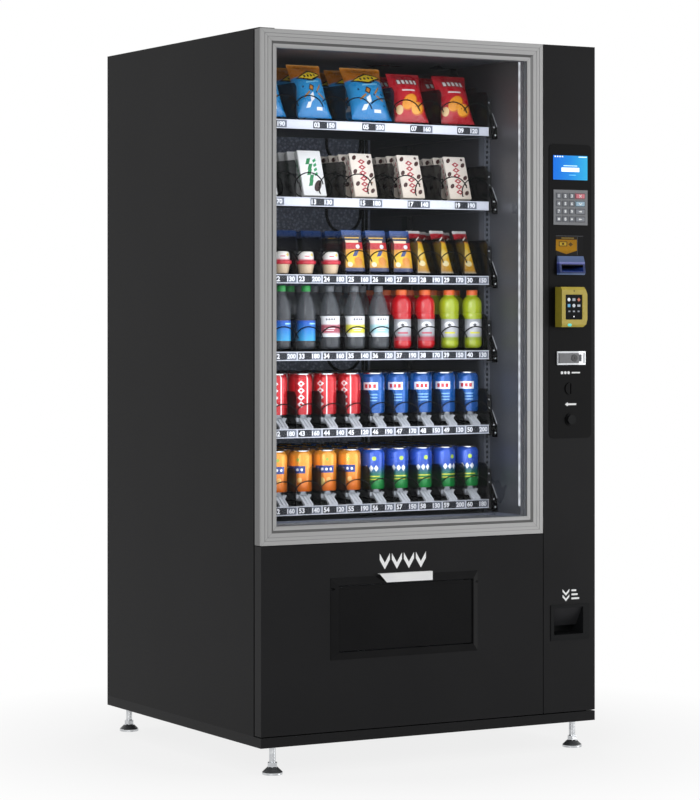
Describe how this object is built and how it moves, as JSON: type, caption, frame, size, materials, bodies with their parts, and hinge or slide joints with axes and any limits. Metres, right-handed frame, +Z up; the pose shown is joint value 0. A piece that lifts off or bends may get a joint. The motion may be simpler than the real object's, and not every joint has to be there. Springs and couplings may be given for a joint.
{
  "type": "snack vending machine",
  "caption": "Free-standing glass-front snack and drink vending machine with spiral trays, a side control column, a delivery flap and levelling feet.",
  "frame": {"origin": "floor level, under the centre of the machine's box", "axes": "+X to the right seen from the front, +Y from the front to the back, +Z up"},
  "size_m": [1.04, 0.974, 1.93],
  "materials": {
    "shell_coat": "satin near-black powder coat",
    "liner_skin": "embossed charcoal skin over insulating foam",
    "plinth_coat": "satin near-black powder coat",
    "foot_chrome": "bright plated steel",
    "upright_steel": "galvanised",
    "cooling_metal": "painted steel and aluminium fins",
    "cable_rubber": "matt cable sheath",
    "door_steel": "satin powder coat",
    "frame_aluminium": "satin anodised extrusion",
    "window_glass": "clear float glass",
    "gasket_rubber": "matt",
    "panel_coat": "satin near-black powder coat",
    "column_coat": "satin near-black powder coat",
    "display_black": "gloss black bezel",
    "keypad_steel": "brushed plate",
    "bill_blue": "translucent blue",
    "changer_plastic": "matt moulded housing",
    "terminal_yellow": "olive-yellow moulding",
    "lock_steel": "satin die-cast",
    "cup_plastic": "fine-grained black",
    "bay_gloss": "gloss black moulding",
    "bin_sheet": "dark powder coat",
    "led_white": "opal diffuser",
    "flap_gloss": "gloss black sheet",
    "handle_steel": "satin die-cast",
    "button_chrome": "bright plated",
    "fan_plastic": "black moulding",
    "key_grey": "satin metal",
    "key_red": "red cap",
    "key_blue": "blue cap",
    "tray_steel": "dark grey powder coat",
    "spiral_steel": "black coated wire",
    "riser_white": "white moulding"
  },
  "bodies": {
    "cabinet": {"cabinet_shell": "shell_coat", "insulated_liner": "liner_skin", "base_plinth": "plinth_coat", "levelling_feet": "foot_chrome", "tray_uprights": "upright_steel", "cooling_unit": "cooling_metal", "wiring_loom": "cable_rubber"},
    "door": {"door_pan": "door_steel", "window_frame": "frame_aluminium", "window_glass": "window_glass", "door_gasket": "gasket_rubber", "lower_panel": "panel_coat", "control_column": "column_coat", "display": "display_black", "keypad_plate": "keypad_steel", "bill_acceptor": "bill_blue", "coin_changer": "changer_plastic", "payment_terminal": "terminal_yellow", "lock_plate": "lock_steel", "coin_cup": "cup_plastic", "delivery_frame": "bay_gloss", "delivery_bin": "bin_sheet", "led_strips": "led_white"},
    "flap": {"delivery_flap": "flap_gloss"},
    "paddle": {"lock_handle": "handle_steel"},
    "button": {"change_button": "button_chrome"},
    "fan": {"cooling_fan": "fan_plastic"},
    "keycap_r1c1": {"key_r1c1": "key_grey"},
    "keycap_r1c2": {"key_r1c2": "key_grey"},
    "keycap_r1c3": {"key_r1c3": "key_grey"},
    "keycap_r1c4": {"key_r1c4": "key_red"},
    "keycap_r2c1": {"key_r2c1": "key_grey"},
    "keycap_r2c2": {"key_r2c2": "key_grey"},
    "keycap_r2c3": {"key_r2c3": "key_grey"},
    "keycap_r2c4": {"key_r2c4": "key_blue"},
    "keycap_r3c1": {"key_r3c1": "key_grey"},
    "keycap_r3c2": {"key_r3c2": "key_grey"},
    "keycap_r3c3": {"key_r3c3": "key_grey"},
    "keycap_r3c4": {"key_r3c4": "key_grey"},
    "keycap_r4c1": {"key_r4c1": "key_grey"},
    "keycap_r4c2": {"key_r4c2": "key_grey"},
    "keycap_r4c3": {"key_r4c3": "key_grey"},
    "keycap_r4c4": {"key_r4c4": "key_grey"},
    "shelf_1": {"tray_1": "tray_steel", "spirals_1": "spiral_steel"},
    "shelf_2": {"tray_2": "tray_steel", "spirals_2": "spiral_steel"},
    "shelf_3": {"tray_3": "tray_steel", "spirals_3": "spiral_steel"},
    "shelf_4": {"tray_4": "tray_steel", "spirals_4": "spiral_steel"},
    "shelf_5": {"tray_5": "tray_steel", "spirals_5": "spiral_steel", "can_risers_5": "riser_white"},
    "shelf_6": {"tray_6": "tray_steel", "spirals_6": "spiral_steel", "can_risers_6": "riser_white"},
    "auger_4": {"lane_spiral_4": "spiral_steel"},
    "auger_5": {"lane_spiral_5": "spiral_steel"},
    "auger_6": {"lane_spiral_6": "spiral_steel"}
  },
  "joints": [
    {"name": "door_hinge", "type": "hinge", "parent": "cabinet", "child": "door", "pos_m": [-0.5125, -0.428, 1], "axis": [0, 0, -1], "range_deg": [0, 110]},
    {"name": "flap_hinge", "type": "hinge", "parent": "door", "child": "flap", "pos_m": [-0.08875, -0.4565, 0.474], "axis": [1, 0, 0], "range_deg": [0, 70]},
    {"name": "paddle_hinge", "type": "hinge", "parent": "door", "child": "paddle", "pos_m": [0.399, -0.4575, 1.0715], "axis": [0, 0, -1], "range_deg": [0, 40]},
    {"name": "change_button_press", "type": "slide", "parent": "door", "child": "button", "axis": [0, 1, 0], "range_m": [0, 0.005], "stiffness_N_per_m": 300},
    {"name": "fan_spin", "type": "hinge", "parent": "cabinet", "child": "fan", "pos_m": [0.08, 0.311, 0.262], "axis": [0, 1, 0], "continuous": true},
    {"name": "key_r1c1_press", "type": "slide", "parent": "door", "child": "keycap_r1c1", "axis": [0, 1, 0], "range_m": [0, 0.0015], "stiffness_N_per_m": 300},
    {"name": "key_r1c2_press", "type": "slide", "parent": "door", "child": "keycap_r1c2", "axis": [0, 1, 0], "range_m": [0, 0.0015], "stiffness_N_per_m": 300},
    {"name": "key_r1c3_press", "type": "slide", "parent": "door", "child": "keycap_r1c3", "axis": [0, 1, 0], "range_m": [0, 0.0015], "stiffness_N_per_m": 300},
    {"name": "key_r1c4_press", "type": "slide", "parent": "door", "child": "keycap_r1c4", "axis": [0, 1, 0], "range_m": [0, 0.0015], "stiffness_N_per_m": 300},
    {"name": "key_r2c1_press", "type": "slide", "parent": "door", "child": "keycap_r2c1", "axis": [0, 1, 0], "range_m": [0, 0.0015], "stiffness_N_per_m": 300},
    {"name": "key_r2c2_press", "type": "slide", "parent": "door", "child": "keycap_r2c2", "axis": [0, 1, 0], "range_m": [0, 0.0015], "stiffness_N_per_m": 300},
    {"name": "key_r2c3_press", "type": "slide", "parent": "door", "child": "keycap_r2c3", "axis": [0, 1, 0], "range_m": [0, 0.0015], "stiffness_N_per_m": 300},
    {"name": "key_r2c4_press", "type": "slide", "parent": "door", "child": "keycap_r2c4", "axis": [0, 1, 0], "range_m": [0, 0.0015], "stiffness_N_per_m": 300},
    {"name": "key_r3c1_press", "type": "slide", "parent": "door", "child": "keycap_r3c1", "axis": [0, 1, 0], "range_m": [0, 0.0015], "stiffness_N_per_m": 300},
    {"name": "key_r3c2_press", "type": "slide", "parent": "door", "child": "keycap_r3c2", "axis": [0, 1, 0], "range_m": [0, 0.0015], "stiffness_N_per_m": 300},
    {"name": "key_r3c3_press", "type": "slide", "parent": "door", "child": "keycap_r3c3", "axis": [0, 1, 0], "range_m": [0, 0.0015], "stiffness_N_per_m": 300},
    {"name": "key_r3c4_press", "type": "slide", "parent": "door", "child": "keycap_r3c4", "axis": [0, 1, 0], "range_m": [0, 0.0015], "stiffness_N_per_m": 300},
    {"name": "key_r4c1_press", "type": "slide", "parent": "door", "child": "keycap_r4c1", "axis": [0, 1, 0], "range_m": [0, 0.0015], "stiffness_N_per_m": 300},
    {"name": "key_r4c2_press", "type": "slide", "parent": "door", "child": "keycap_r4c2", "axis": [0, 1, 0], "range_m": [0, 0.0015], "stiffness_N_per_m": 300},
    {"name": "key_r4c3_press", "type": "slide", "parent": "door", "child": "keycap_r4c3", "axis": [0, 1, 0], "range_m": [0, 0.0015], "stiffness_N_per_m": 300},
    {"name": "key_r4c4_press", "type": "slide", "parent": "door", "child": "keycap_r4c4", "axis": [0, 1, 0], "range_m": [0, 0.0015], "stiffness_N_per_m": 300},
    {"name": "tray_1_slide", "type": "slide", "parent": "cabinet", "child": "shelf_1", "axis": [0, -1, 0], "range_m": [0, 0.12]},
    {"name": "tray_2_slide", "type": "slide", "parent": "cabinet", "child": "shelf_2", "axis": [0, -1, 0], "range_m": [0, 0.12]},
    {"name": "tray_3_slide", "type": "slide", "parent": "cabinet", "child": "shelf_3", "axis": [0, -1, 0], "range_m": [0, 0.12]},
    {"name": "tray_4_slide", "type": "slide", "parent": "cabinet", "child": "shelf_4", "axis": [0, -1, 0], "range_m": [0, 0.12]},
    {"name": "tray_5_slide", "type": "slide", "parent": "cabinet", "child": "shelf_5", "axis": [0, -1, 0], "range_m": [0, 0.12]},
    {"name": "tray_6_slide", "type": "slide", "parent": "cabinet", "child": "shelf_6", "axis": [0, -1, 0], "range_m": [0, 0.12]},
    {"name": "lane_spiral_4_turn", "type": "hinge", "parent": "shelf_4", "child": "auger_4", "pos_m": [-0.4242, 0.047, 1.1269], "axis": [0, 1, 0], "continuous": true},
    {"name": "lane_spiral_5_turn", "type": "hinge", "parent": "shelf_5", "child": "auger_5", "pos_m": [-0.4242, 0.047, 0.9207], "axis": [0, 1, 0], "continuous": true},
    {"name": "lane_spiral_6_turn", "type": "hinge", "parent": "shelf_6", "child": "auger_6", "pos_m": [-0.4242, 0.047, 0.7145], "axis": [0, 1, 0], "continuous": true}
  ]
}
